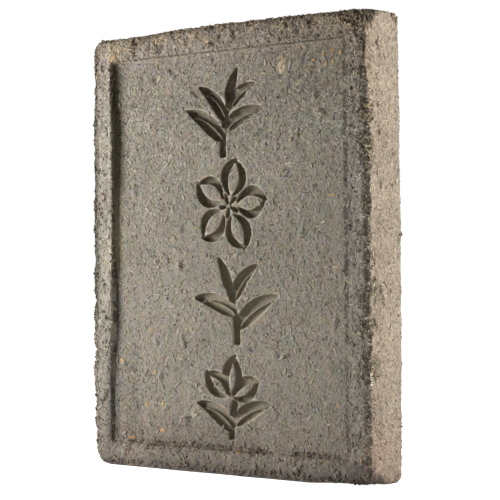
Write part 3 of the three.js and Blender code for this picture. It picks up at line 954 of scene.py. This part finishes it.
@dataclass
class Finisher:
    """Makes the brick's materials, one for each piece."""

    brick: Brick
    groups: ShaderGroups = field(default_factory=ShaderGroups)
    flake: float = 2.2
    chip: float = 1.1
    folds: float = 0.9
    bump_height: float = 0.15
    bump_strength: float = 0.5

    def body(self, name: str, finish: LeafFinish) -> bpy.types.Material:
        """Makes the body's material: a mosaic of pressed leaf, with painted shade in its hollows and strokes,
        and darker on its broken edges.

        Args:
            name: The piece's name.
            finish: The finish.

        Returns:
            The material.
        """
        canvas, place = self._start(name)
        spot = Spot(self.brick, canvas, place)
        flake = canvas.axes(canvas.cells(place, self.flake))[0]
        chip, hue, _ = canvas.axes(canvas.cells(place, self.chip))
        grain = self._grain(canvas, place)
        sharp = self._sharpness(spot)
        gap = canvas.stored("stroke_gap")
        stroke = gap.fall(0.05, 0.45)
        lip = gap.band(0.1, 0.4, 0.6, 1.0) + canvas.stored("lip")
        mottled = canvas.stored("rim") * 0.38 - stroke * 0.5 - canvas.stored("bare") * 0.5 + 1.0
        mottled = mottled * sharp - canvas.stored("flank") * 0.08
        tone = (chip * 0.40 + flake * 0.20 + grain * 0.40 - 0.5) * mottled + 0.5 + lip * 0.26
        # Painted shade in the relief's hollows, and the dirt, painted shade and dark lines that the body
        # keeps.
        tone = tone - canvas.stored("hollow").ramp(0.0, 0.7) * 0.35 - canvas.stored("soil") - spot.lines()
        # Darker on the broken edges, and darker in the strokes, more so high up: partly the pressed floor's
        # own darker colour, partly painted shade.
        tone = tone - canvas.stored("broken") * 0.07 - stroke * spot.z.ramp(60.0, 200.0, (0.10, 0.28))
        return self._finish(spot, finish, tone, hue, (grain * 0.5 + chip * 0.5) * sharp, stroke)

    def fragment(self, name: str, finish: LeafFinish) -> bpy.types.Material:
        """Makes the material of loose fragments, each with its own tone.

        Args:
            name: The piece's name.
            finish: The finish.

        Returns:
            The material.
        """
        canvas, place = self._start(name)
        spot = Spot(self.brick, canvas, place)
        grain = self._grain(canvas, place)
        # Darker by the dirt and painted shade that the body keeps, and by its dark lines of painted shade and
        # dirt.
        dirt_and_shade = canvas.stored("soil") * 0.5 + canvas.stored("lines") * 0.7
        contrast = (canvas.stored("flank") * -0.12 + 0.85) * self._sharpness(spot)
        tone = (canvas.stored("tone") - 0.5) * contrast + grain * 0.4 + 0.28 - dirt_and_shade
        tone = tone + canvas.stored("lip") * 0.25
        return self._finish(spot, finish, tone, canvas.stored("hue"), grain)

    def _start(self, name: str) -> tuple[Canvas, Value]:
        """Starts a material.

        Args:
            name: Its name.

        Returns:
            The canvas, and the place on the surface.
        """
        material = bpy.data.materials.new(name)
        material.use_nodes = True
        material.node_tree.nodes.clear()
        canvas = Canvas(material.node_tree)
        return canvas, canvas.scaled(canvas.value("ShaderNodeTexCoord", "Object"), 1 / MM)

    def _sharpness(self, spot: Spot) -> Value:
        """Tells how strongly the leaf's tones differ: less where the face was rubbed smooth, low down.

        Args:
            spot: The place.

        Returns:
            The share of the full difference.
        """
        x, z = spot.x, spot.z
        rubbed = z.fall(115.0, 200.0, 0.36) - z.ramp(150.0, 200.0) * x.ramp(-20.0, 50.0, (0.03, 0.16))
        rubbed = rubbed + x.fall(-84.0, -80.0, 0.24) * z.ramp(40.0, 80.0) - x.ramp(83.0, 87.0) * 0.12
        return rubbed * (spot.canvas.stored("flank") - 1) + 1

    def _grain(self, canvas: Canvas, place: Value) -> Value:
        """Places the shared leaf grain."""
        inputs = {"Place": place, "Size": self.folds}
        return canvas.value("ShaderNodeGroup", "Height", inputs, node_tree=self.groups.grain)

    def _finish(
        self, spot: Spot, finish: LeafFinish, tone: Value, hue: Value, height: Value, olive: Term = 0.0
    ) -> bpy.types.Material:
        """Ends a material with the shared tint, the bump and the shader.

        Args:
            spot: The place.
            finish: The finish.
            tone: How pale the leaf is, from 0 to 1.
            hue: The leaf's own place between its casts.
            height: The fine relief.
            olive: How far it turns to olive.

        Returns:
            The material.
        """
        canvas = spot.canvas
        calm_rim = canvas.stored("rim") * spot.z.ramp(12.0, 22.0, (-0.2, 0.65))
        inputs = {name.title(): canvas.stored(name) for name in ("flank", "warm", "light")}
        inputs |= {"Calm": canvas.stored("flank") * 0.75 + calm_rim, "Olive": olive}
        inputs |= {"Place": spot.place, "Tone": tone, "Hue": hue}
        inputs |= {"Dark": finish.dark, "Middle": finish.middle, "Pale": finish.pale}
        colour = canvas.value("ShaderNodeGroup", "Color", inputs, node_tree=self.groups.tint)
        inputs = {"Height": height, "Strength": self.bump_strength, "Distance": self.bump_height * MM}
        bump = canvas.value("ShaderNodeBump", "Normal", inputs)
        inputs = {"Base Color": colour, "Roughness": finish.roughness, "Normal": bump}
        shader = canvas.value("ShaderNodeBsdfPrincipled", "BSDF", inputs)
        canvas.add("ShaderNodeOutputMaterial", {"Surface": shader})
        return next(m for m in bpy.data.materials if m.node_tree == canvas.tree)


# ---- The fragments ----


class Shape(Enum):
    """The forms that a fragment of dry tea takes."""

    GRAIN = "grain"
    CHIP = "chip"
    PLATE = "plate"
    SHRED = "shred"
    STALK = "stalk"
    CRUMB = "crumb"


@dataclass(frozen=True)
class Strewing:
    """How many fragments lie on a square centimetre of each part of the brick."""

    panel: float
    rim: float
    back: float
    flank: float
    broken: float


@dataclass(frozen=True)
class Kind:
    """One kind of fragment: its tilt is in degrees, and it is ragged by a share of its size."""

    name: str
    finish: LeafFinish
    shape: Shape
    size: Triple
    strewing: Strewing
    seed: int
    ragged: float = 0.16
    tilt: float = 6.0
    grow: tuple[float, float] = (0.6, 1.4)
    variants: int = 5


KINDS = (
    Kind(
        "fine_grains", FINE_LEAF, Shape.GRAIN, (1.45, 0.75, 0.34),
        Strewing(14, 13, 6, 12, 11), 11, 0.2,
    ),
    Kind(
        "round_grains", FINE_LEAF, Shape.GRAIN, (1.3, 0.9, 0.34),
        Strewing(12, 11, 6, 10, 9), 13, 0.2,
    ),
    Kind(
        "leaf_chips", CHIPPED_LEAF, Shape.CHIP, (2.4, 1.0, 0.36),
        Strewing(10, 7, 4.5, 7.5, 2.5), 23, 0.2,
    ),
    Kind(
        "leaf_flakes", CHIPPED_LEAF, Shape.CHIP, (2.1, 1.15, 0.36),
        Strewing(8, 5, 3.5, 5.5, 1.5), 27, 0.2,
    ),
    Kind(
        "leaf_slivers", SLIM_LEAF, Shape.GRAIN, (2.4, 0.6, 0.34),
        Strewing(14, 14, 6, 11, 10), 29, tilt=8.0,
    ),
    Kind(
        "leaf_threads", SLIM_LEAF, Shape.GRAIN, (3.0, 0.58, 0.34),
        Strewing(6, 6, 3, 5, 4), 31, tilt=8.0,
    ),
    Kind(
        "broad_chips", BROAD_LEAF, Shape.PLATE, (3.8, 1.6, 0.3),
        Strewing(0.7, 0.3, 0.5, 0.3, 0), 37, 0.24,
    ),
    Kind(
        "dark_shreds", DARK_LEAF, Shape.SHRED, (3.0, 0.7, 0.5),
        Strewing(1.6, 3.0, 1.2, 1.2, 12), 41, tilt=9.0,
    ),
    Kind(
        "pale_stalks", PALE_STALK, Shape.STALK, (3.2, 0.7, 0.45),
        Strewing(0.4, 1.0, 0.4, 0.6, 4), 53, tilt=7.0,
    ),
    Kind(
        "golden_tips", GOLDEN_TIP, Shape.SHRED, (2.4, 0.9, 0.45),
        Strewing(0.22, 0.4, 0.1, 0.05, 0.7), 67, tilt=8.0,
    ),
    Kind(
        "edge_crumbs", CRUMB, Shape.CRUMB, (1.7, 1.2, 1.1),
        Strewing(0.3, 3.0, 0.3, 0.4, 62), 71, tilt=40.0,
    ),
    Kind(
        "pale_crumbs", PALE_CRUMB, Shape.CRUMB, (1.7, 1.0, 0.8),
        Strewing(0.1, 1.5, 0.1, 0.6, 14), 83, tilt=30.0,
    ),
)


def model_fragment(shape: Shape, size: Triple, ragged: float, seed: int) -> bpy.types.Object:
    """Models one fragment at its true size, lying flat.

    Args:
        shape: Its form.
        size: Its length, width and thickness.
        ragged: How uneven it is, as a share of its size.
        seed: What its unevenness starts from.

    Returns:
        The fragment.
    """
    quarter = (0, math.pi / 2, 0)
    match shape:
        case Shape.GRAIN:
            bpy.ops.mesh.primitive_uv_sphere_add(segments=4, ring_count=2, radius=0.5)
        case Shape.CHIP:
            bpy.ops.mesh.primitive_uv_sphere_add(segments=6, ring_count=2, radius=0.5)
        case Shape.PLATE:
            bpy.ops.mesh.primitive_circle_add(vertices=9, radius=0.5, fill_type="TRIFAN")
        case Shape.SHRED:
            bpy.ops.mesh.primitive_uv_sphere_add(segments=4, ring_count=4, radius=0.5, rotation=quarter)
        case Shape.STALK:
            bpy.ops.mesh.primitive_cylinder_add(vertices=5, radius=0.5, depth=1.0, rotation=quarter)
        case Shape.CRUMB:
            bpy.ops.mesh.primitive_ico_sphere_add(subdivisions=1, radius=0.5)
    fragment = bpy.context.active_object
    bpy.ops.object.transform_apply(location=True, rotation=True, scale=True)
    bpy.ops.object.mode_set(mode="EDIT")
    bpy.ops.mesh.select_all(action="SELECT")
    if shape is Shape.PLATE:
        bpy.ops.mesh.extrude_region_move(TRANSFORM_OT_translate={"value": (0, 0, 1.0)})
        bpy.ops.mesh.select_all(action="SELECT")
        bpy.ops.mesh.normals_make_consistent(inside=False)
    bpy.ops.transform.vertex_random(offset=ragged, uniform=0.0, normal=0.0, seed=seed)
    bpy.ops.object.mode_set(mode="OBJECT")
    fragment.scale = Vector(size) * MM
    bpy.ops.object.transform_apply(location=True, rotation=True, scale=True)
    return fragment


@dataclass
class FragmentLayer:
    """All the fragments of one kind, strewn on the body and joined into one piece."""

    kind: Kind
    ground: bpy.types.Object

    def build(self) -> bpy.types.Object:
        """Models the kind's few shapes, strews them and joins them.

        Returns:
            The piece.
        """
        kind = self.kind
        shapes = bpy.data.collections.new(kind.name + " shapes")
        bpy.context.scene.collection.children.link(shapes)
        for number in range(kind.variants):
            shape = model_fragment(kind.shape, kind.size, kind.ragged, kind.seed * 100 + number)
            for home in list(shape.users_collection):
                home.objects.unlink(shape)
            shapes.objects.link(shape)
        bpy.ops.mesh.primitive_plane_add(size=MM)
        piece = bpy.context.active_object
        piece.name = kind.name
        self._strew(piece, shapes)
        for shape in list(shapes.objects):
            bpy.data.objects.remove(shape)
        bpy.data.collections.remove(shapes)
        return piece

    def _strew(self, piece: bpy.types.Object, shapes: bpy.types.Collection) -> None:
        """Strews the shapes over the body and joins them in the piece's mesh.

        Args:
            piece: The piece.
            shapes: The shapes.
        """
        kind, how = self.kind, self.kind.strewing
        canvas, _ = geometry_canvas(kind.name)
        ground = canvas.value("GeometryNodeObjectInfo", "Geometry", {"Object": self.ground})
        _, y, z = canvas.axes(canvas.scaled(canvas.position(), 1 / MM))
        per_cm = y.ramp(-1.0, 1.0, (how.panel, how.back))
        for part in ("rim", "flank", "broken"):
            share = canvas.kept(part)
            per_cm = per_cm * share.inverse() + share * getattr(how, part)
        free = canvas.kept("stroke_gap").ramp(0.3, 0.9) * canvas.kept("bare").inverse()
        density = per_cm * free * z.ramp(1.2, 1.6) * PER_SQUARE_CM
        inputs = {"Mesh": ground, "Density": density, "Seed": kind.seed}
        spread = canvas.add("GeometryNodeDistributePointsOnFaces", inputs, distribute_method="RANDOM")
        points, turn = (Value(canvas, spread.outputs[name]) for name in ("Points", "Rotation"))
        tilt = math.radians(kind.tilt)
        spin = canvas.random_vector((-tilt, -tilt, 0.0), (tilt, tilt, math.tau), kind.seed + 1)
        inputs = {"Rotation": turn, "Rotate By": spin}
        turn = canvas.value("FunctionNodeRotateRotation", "Rotation", inputs, rotation_space="LOCAL")
        low, high = kind.grow
        grow = canvas.random_vector((low, low, low), (high, high, high), kind.seed + 2)
        inputs = {"Collection": shapes, "Separate Children": True, "Reset Children": True}
        cuts = canvas.value("GeometryNodeCollectionInfo", "Instances", inputs)
        inputs = {"Points": points, "Instance": cuts, "Pick Instance": True, "Rotation": turn, "Scale": grow}
        lying = canvas.value("GeometryNodeInstanceOnPoints", "Instances", inputs)
        for step, name in enumerate(("tone", "hue"), 3):
            inputs = {"Seed": kind.seed + step}
            chance = canvas.value("FunctionNodeRandomValue", "Value", inputs, data_type="FLOAT")
            lying = canvas.keep(lying, name, chance, "INSTANCE")
        joined = canvas.value("GeometryNodeRealizeInstances", "Geometry", {"Geometry": lying})
        finish_geometry(canvas, joined, piece)


@dataclass(frozen=True)
class PlacedFleck:
    """One large fleck on the brick: its middle, length and width, and its turn in degrees."""

    x: float
    z: float
    length: float
    width: float
    turn: float


@dataclass(frozen=True)
class Flecks:
    """The large flecks of one finish."""

    name: str
    finish: LeafFinish
    placed: tuple[PlacedFleck, ...]


FLECKS = (
    Flecks(
        "cream_flecks",
        CREAM,
        (
            PlacedFleck(38.8, 217.2, 4.2, 2.5, 62),
            PlacedFleck(36.8, 215.4, 4.6, 2.3, 80),
            PlacedFleck(39.2, 213.7, 4.2, 2.6, 70),
            PlacedFleck(37.4, 211.7, 3.4, 2.0, 95),
            PlacedFleck(-47.7, 214.1, 4.2, 1.5, 65),
            PlacedFleck(63.6, 133.0, 3.2, 1.3, 20),
            PlacedFleck(42.1, 163.8, 4.6, 1.1, 5),
            PlacedFleck(86.0, 207.0, 3.0, 1.0, 80),
            PlacedFleck(-30.0, 118.0, 2.6, 1.0, 35),
            PlacedFleck(12.0, 27.0, 2.8, 1.2, -20),
            PlacedFleck(66.0, 30.0, 2.6, 1.0, 10),
            PlacedFleck(-87.0, 150.0, 2.6, 1.4, 60),
            PlacedFleck(-10.0, 231.0, 3.2, 1.4, 15),
        ),
    ),
    Flecks(
        "white_flecks",
        WHITE,
        (
            PlacedFleck(98.4, 57.4, 2.2, 1.5, 20),
            PlacedFleck(98.2, 55.2, 2.0, 1.3, 80),
            PlacedFleck(98.0, 52.2, 2.8, 1.4, 75),
            PlacedFleck(97.9, 49.6, 1.8, 1.2, 10),
        ),
    ),
    Flecks(
        "golden_flecks",
        GOLD,
        (
            PlacedFleck(-54.5, 75.8, 3.2, 1.7, 5),
            PlacedFleck(-75.9, 58.6, 3.6, 2.3, -30),
            PlacedFleck(-79.0, 227.8, 5.4, 1.6, 22),
            PlacedFleck(-68.7, 15.7, 5.4, 1.7, -4),
            PlacedFleck(-52.5, 52.8, 3.2, 2.2, 40),
            PlacedFleck(-68.5, 48.1, 1.8, 1.3, 20),
            PlacedFleck(42.9, 176.4, 2.6, 1.8, 40),
            PlacedFleck(69.4, 146.6, 4.8, 1.5, 4),
            PlacedFleck(-58.7, 34.8, 3.2, 1.8, -50),
            PlacedFleck(-46.8, 35.3, 4.2, 1.9, 80),
            PlacedFleck(-47.0, 21.0, 3.6, 1.9, 5),
            PlacedFleck(66.5, 213.2, 3.6, 1.5, 70),
            PlacedFleck(58.5, 216.0, 2.6, 1.3, 10),
            PlacedFleck(70.3, 220.1, 2.8, 1.6, 20),
            PlacedFleck(75.0, 218.6, 2.6, 1.7, 40),
            PlacedFleck(65.0, 218.8, 2.4, 1.5, 60),
            PlacedFleck(71.0, 214.6, 2.2, 1.4, 70),
            PlacedFleck(10.3, 15.5, 4.6, 1.6, -8),
            PlacedFleck(88.1, 13.4, 2.6, 1.2, 60),
            PlacedFleck(-92.0, 218.0, 2.0, 1.4, 80),
            PlacedFleck(-46.7, 234.0, 2.6, 1.6, 30),
        ),
    ),
)


@dataclass
class FleckLayer:
    """The large flecks of one finish, each laid at its own place and joined into one piece."""

    flecks: Flecks
    ground: bpy.types.Object
    thickness: float = 0.45
    sunk: float = 0.2
    ragged: float = 0.2
    first_seed: int = 900
    tones: tuple[float, float] = (0.3, 0.75)

    def build(self) -> bpy.types.Object:
        """Models each fleck, lays it on the body and joins them.

        Returns:
            The piece.
        """
        laid = [self._lay(fleck, number) for number, fleck in enumerate(self.flecks.placed)]
        only(*laid)
        bpy.ops.object.join()
        piece = bpy.context.active_object
        piece.name = self.flecks.name
        bpy.ops.object.transform_apply(location=True, rotation=True, scale=True)
        golden_share = 0.618
        each = len(piece.data.vertices) // len(laid)
        hues = [number * golden_share % 1.0 for number in range(len(laid)) for _ in range(each)]
        low, high = self.tones
        for name, values in (("tone", [low + (high - low) * hue for hue in hues]), ("hue", hues)):
            piece.data.attributes.new(name, "FLOAT", "POINT")
            piece.data.attributes[name].data.foreach_set("value", values)
        return piece

    def _lay(self, fleck: PlacedFleck, number: int) -> bpy.types.Object:
        """Models one fleck and lays it on the body.

        Args:
            fleck: The fleck.
            number: Its number among its like.

        Returns:
            The fleck's object.
        """
        size = (fleck.length, fleck.width, self.thickness)
        piece = model_fragment(Shape.PLATE, size, self.ragged, self.first_seed + number)
        aim = Vector((fleck.x, Brick.front, fleck.z)) * MM
        _, place, normal, _ = self.ground.closest_point_on_mesh(aim)
        facing = normal.to_track_quat("Z", "Y").to_matrix().to_4x4()
        turn = math.radians(fleck.turn)
        level = facing.to_3x3().inverted() @ Vector((math.cos(turn), 0, math.sin(turn)))
        spin = Matrix.Rotation(math.atan2(level.y, level.x), 4, "Z")
        piece.matrix_world = Matrix.Translation(place - normal * self.sunk * MM) @ facing @ spin
        return piece


# ---- The studio ----


@dataclass
class Studio:
    """The floor, the lights and the camera. Places are in metres."""

    camera_place: Triple = (0.5788, -0.7075, 0.11375)
    camera_turn: float = 38.927
    camera_rise: float = 0.3536
    camera_roll: float = -0.5274
    lens: float = 122.51
    ambient: float = 0.14
    backdrop: float = 1.05

    def build(self) -> None:
        """Builds the whole studio."""
        self._camera()
        self._floor()
        self._world()
        self._light("key", (-0.525, -0.322, 0.14), (0.0, 0.0, 0.12), 0.24, 6.7, (1.0, 0.998, 0.99))
        self._light("side", (0.60, 0.28, 0.28), (0.09, 0.0, 0.12), 0.25, 6.9, (0.98, 0.94, 0.89))
        self._light("top", (0.0, 0.1, 1.0), (0.0, 0.0, 0.0), 0.8, 2.0, (1.0, 1.0, 1.0))
        bpy.context.scene.view_settings.view_transform = "Standard"

    def _camera(self) -> None:
        """Stands the camera to the right of the pressed face, level with the brick's middle."""
        bpy.ops.object.camera_add(location=self.camera_place)
        camera = bpy.context.active_object
        turn = (
            Matrix.Rotation(math.radians(self.camera_turn), 3, "Z")
            @ Matrix.Rotation(math.radians(90 + self.camera_rise), 3, "X")
            @ Matrix.Rotation(math.radians(self.camera_roll), 3, "Z")
        )
        camera.rotation_euler = turn.to_euler()
        camera.data.lens = self.lens
        camera.data.sensor_width = 36.0
        camera.data.clip_start = 0.01
        camera.data.clip_end = 20.0
        bpy.context.scene.camera = camera

    def _floor(self) -> None:
        """Lays the pale floor, which looks white to the camera."""
        bpy.ops.mesh.primitive_plane_add(size=8.0, location=(0, 0, 0))
        floor = bpy.context.active_object
        floor.name = "floor"
        material = bpy.data.materials.new("pale floor")
        material.use_nodes = True
        material.node_tree.nodes.clear()
        canvas = Canvas(material.node_tree)
        matt = {"Base Color": (0.7, 0.7, 0.7), "Roughness": 0.9}
        shader = canvas.value("ShaderNodeBsdfPrincipled", "BSDF", matt)
        glow = canvas.value("ShaderNodeEmission", "Emission", {"Color": (1, 1, 1), "Strength": 1.0})
        seen = canvas.value("ShaderNodeLightPath", "Is Camera Ray")
        both = canvas.joined("ShaderNodeAddShader", shader, glow)
        mix = canvas.joined("ShaderNodeMixShader", seen, shader, both)
        canvas.add("ShaderNodeOutputMaterial", {"Surface": mix})
        dress(floor, material)

    def _world(self) -> None:
        """Makes the white surroundings, which light the brick only faintly."""
        world = bpy.data.worlds.new("white studio")
        bpy.context.scene.world = world
        world.use_nodes = True
        world.node_tree.nodes.clear()
        canvas = Canvas(world.node_tree)
        seen = canvas.value("ShaderNodeLightPath", "Is Camera Ray")
        strength = seen * (self.backdrop - self.ambient) + self.ambient
        shade = canvas.value("ShaderNodeBackground", "Background", {"Color": (1, 1, 1), "Strength": strength})
        canvas.add("ShaderNodeOutputWorld", {"Surface": shade})

    def _light(
        self, name: str, place: Triple, aim: Triple, size: float, watts: float, colour: Triple
    ) -> None:
        """Hangs one square soft light.

        Args:
            name: The light's name.
            place: Where it hangs.
            aim: What it points at.
            size: Its side.
            watts: Its power.
            colour: Its colour.
        """
        bpy.ops.object.light_add(type="AREA", location=place)
        lamp = bpy.context.active_object
        lamp.name = name
        lamp.data.shape = "SQUARE"
        lamp.data.size = size
        lamp.data.energy = watts
        lamp.data.color = colour
        lamp.rotation_euler = (Vector(aim) - Vector(place)).to_track_quat("-Z", "Y").to_euler()


def main() -> None:
    """Builds the brick and its studio, piece by piece."""
    logging.basicConfig(level=logging.INFO, format="%(name)s: %(message)s")
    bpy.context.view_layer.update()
    brick = Brick.from_frame()
    finisher = Finisher(brick)

    body = BodyRelief(brick).build()
    hand_over(body, finisher.body(body.name, PRESSED_LEAF))
    for kind in KINDS:
        hand_over(FragmentLayer(kind, body).build(), finisher.fragment(kind.name, kind.finish))
    for flecks in FLECKS:
        hand_over(FleckLayer(flecks, body).build(), finisher.fragment(flecks.name, flecks.finish))

    Studio().build()


if __name__ == "__main__":
    main()
